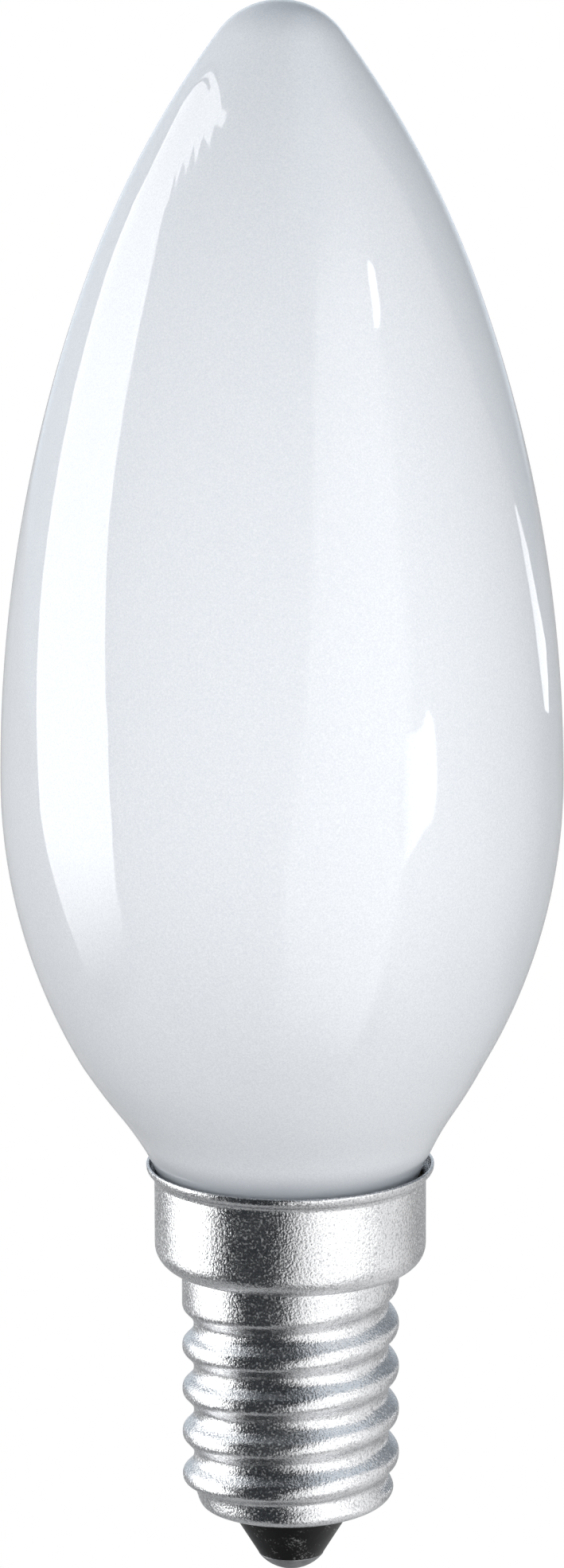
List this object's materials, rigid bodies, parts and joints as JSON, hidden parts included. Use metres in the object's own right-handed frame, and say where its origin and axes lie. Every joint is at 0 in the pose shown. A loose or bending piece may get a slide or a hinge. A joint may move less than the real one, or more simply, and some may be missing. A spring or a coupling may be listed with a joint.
{
  "type": "candle light bulb",
  "caption": "Frosted candle-shaped light bulb with a plated small screw cap, a black glass insulator and a soldered centre contact.",
  "frame": {"origin": "tip of the centre contact, on the axis of the screw cap", "axes": "+Z along the bulb from the contact to the glass tip, +X towards the right of the picture, +Y away from the viewer"},
  "size_m": [0.035, 0.035, 0.1],
  "materials": {
    "frosted_glass": "gloss",
    "plated_cap": "satin",
    "black_glass": "gloss",
    "brass": "satin",
    "solder": "matte",
    "cement": "matte",
    "lead_wire": "satin"
  },
  "bodies": {
    "root": {"glass_bulb": "frosted_glass", "screw_shell": "plated_cap", "insulator": "black_glass", "centre_eyelet": "brass", "contact_solder": "solder", "basing_cement": "cement", "centre_lead": "lead_wire", "side_lead": "lead_wire", "side_solder": "solder"}
  },
  "joints": []
}
